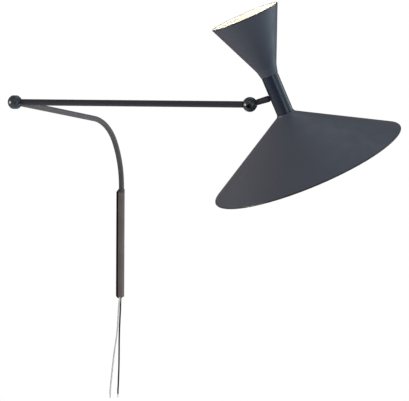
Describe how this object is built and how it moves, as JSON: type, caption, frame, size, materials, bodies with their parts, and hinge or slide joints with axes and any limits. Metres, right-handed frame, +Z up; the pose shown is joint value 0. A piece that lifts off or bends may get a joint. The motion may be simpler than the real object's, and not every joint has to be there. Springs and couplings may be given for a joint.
{
  "type": "swing arm wall sconce",
  "caption": "Wall sconce with a bent tube swinging in a wall sleeve, a folding straight arm on ball joints, and a tilting double-cone head lit up and down.",
  "frame": {"origin": "middle of the wall plate's back face, on the wall", "axes": "+Z up the wall, +Y into the wall, so the lamp stands out towards -Y; +X to the right of a person who faces the wall"},
  "size_m": [0.4997, 0.5501, 0.6425],
  "materials": {
    "shade_aluminium": "matte",
    "neck_aluminium": "satin",
    "plain_aluminium": "satin",
    "arm_steel": "satin",
    "ball_steel": "satin",
    "tube_steel": "satin",
    "sleeve_steel": "satin",
    "black_steel": "satin",
    "bare_steel": "satin",
    "graphite_nylon": "matte",
    "plain_nylon": "matte",
    "cable_sheath": "matte",
    "wire_insulation": "matte",
    "black_insulation": "satin",
    "white_insulation": "satin",
    "tinned_copper": "satin",
    "holder_ceramic": "matte",
    "bulb_glass": "polished"
  },
  "bodies": {
    "wall_bracket": {"wall_plate": "black_steel", "bearing_sleeve": "sleeve_steel", "hanger_studs": "bare_steel", "upper_bush": "graphite_nylon", "lower_bush": "graphite_nylon", "lead_gland": "graphite_nylon", "black_lead": "black_insulation", "white_lead": "white_insulation", "black_lead_tip": "tinned_copper", "white_lead_tip": "tinned_copper"},
    "swing_arm": {"curved_tube": "tube_steel", "thrust_collar": "tube_steel", "collar_set_screw": "black_steel", "retaining_ring": "bare_steel", "elbow_tongue": "ball_steel", "swing_cable": "cable_sheath"},
    "long_arm": {"elbow_ball": "ball_steel", "elbow_pivot_screw": "black_steel", "elbow_pivot_nut": "bare_steel", "elbow_washers": "graphite_nylon", "elbow_grub_screw": "black_steel", "arm_root_plug": "bare_steel", "long_arm_tube": "arm_steel", "arm_cable": "cable_sheath", "wrist_journal": "black_steel"},
    "wrist": {"wrist_ball": "ball_steel", "wrist_grub_screw": "black_steel", "tilt_pivot_screw": "black_steel", "tilt_pivot_nut": "bare_steel", "tilt_washers": "graphite_nylon"},
    "head": {"head_stem": "arm_steel", "stem_nut": "bare_steel", "stem_washer": "bare_steel", "neck_tube": "neck_aluminium", "upper_shade": "shade_aluminium", "lower_shade": "shade_aluminium", "upper_shade_clamp": "plain_aluminium", "lower_shade_clamp": "plain_aluminium", "upper_lampholder": "holder_ceramic", "lower_lampholder": "holder_ceramic", "upper_bulb": "bulb_glass", "lower_bulb": "bulb_glass", "holder_screws": "bare_steel", "terminal_block": "plain_nylon", "head_cable": "cable_sheath", "holder_leads": "wire_insulation"}
  },
  "joints": [
    {"name": "wall_swing", "type": "hinge", "parent": "wall_bracket", "child": "swing_arm", "pos_m": [0, -0.0088, 0], "axis": [0, 0, 1], "range_deg": [-30, 130]},
    {"name": "elbow_swing", "type": "hinge", "parent": "swing_arm", "child": "long_arm", "pos_m": [-0.22064, -0.18119, 0.23796], "axis": [0, 0, 1], "range_deg": [-110, 18]},
    {"name": "wrist_roll", "type": "hinge", "parent": "long_arm", "child": "wrist", "pos_m": [0.06606, -0.38194, 0.23796], "axis": [0.8192, -0.5736, 0], "range_deg": [-90, 70]},
    {"name": "head_tilt", "type": "hinge", "parent": "wrist", "child": "head", "pos_m": [0.06606, -0.38194, 0.23796], "axis": [-0.5565, -0.7948, -0.2419], "range_deg": [-60, 60]}
  ]
}
